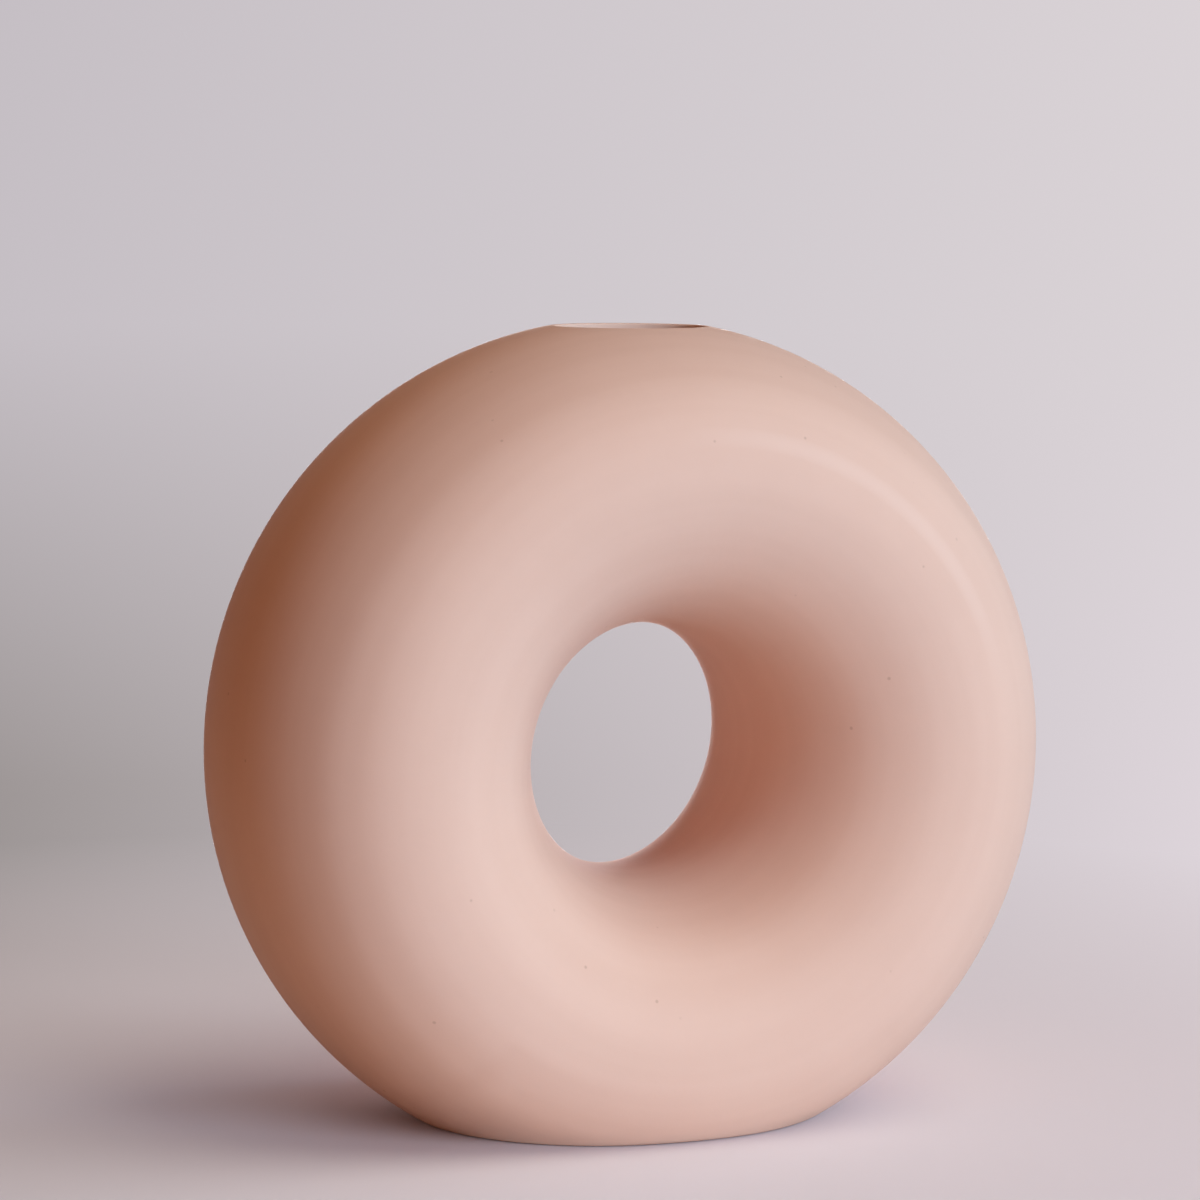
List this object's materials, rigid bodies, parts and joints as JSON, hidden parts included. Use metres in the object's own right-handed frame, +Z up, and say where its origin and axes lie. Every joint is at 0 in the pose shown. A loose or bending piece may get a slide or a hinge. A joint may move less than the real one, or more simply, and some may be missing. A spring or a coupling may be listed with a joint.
{
  "type": "donut vase",
  "caption": "Upright ring-shaped ceramic vase with a hollow oval section, a hole through its middle, a flat foot and an oval mouth cut level across its top.",
  "frame": {"origin": "middle of the flat foot, on the surface that the vase stands on", "axes": "+Z up; +X along the ring's width; +Y along the ring's axis, from the front face to the rear face"},
  "size_m": [0.2164, 0.11, 0.2],
  "materials": {
    "matte_clay": "matte, unglazed blush-pink clay with faint turning rings",
    "seam_slip": "matte, scraped flush with the clay",
    "liner_glaze": "clear gloss over the clay's colour"
  },
  "bodies": {
    "root": {"front_half_shell": "matte_clay", "rear_half_shell": "matte_clay", "outer_seam_slip": "seam_slip", "inner_seam_slip": "seam_slip", "inside_glaze": "liner_glaze"}
  },
  "joints": []
}
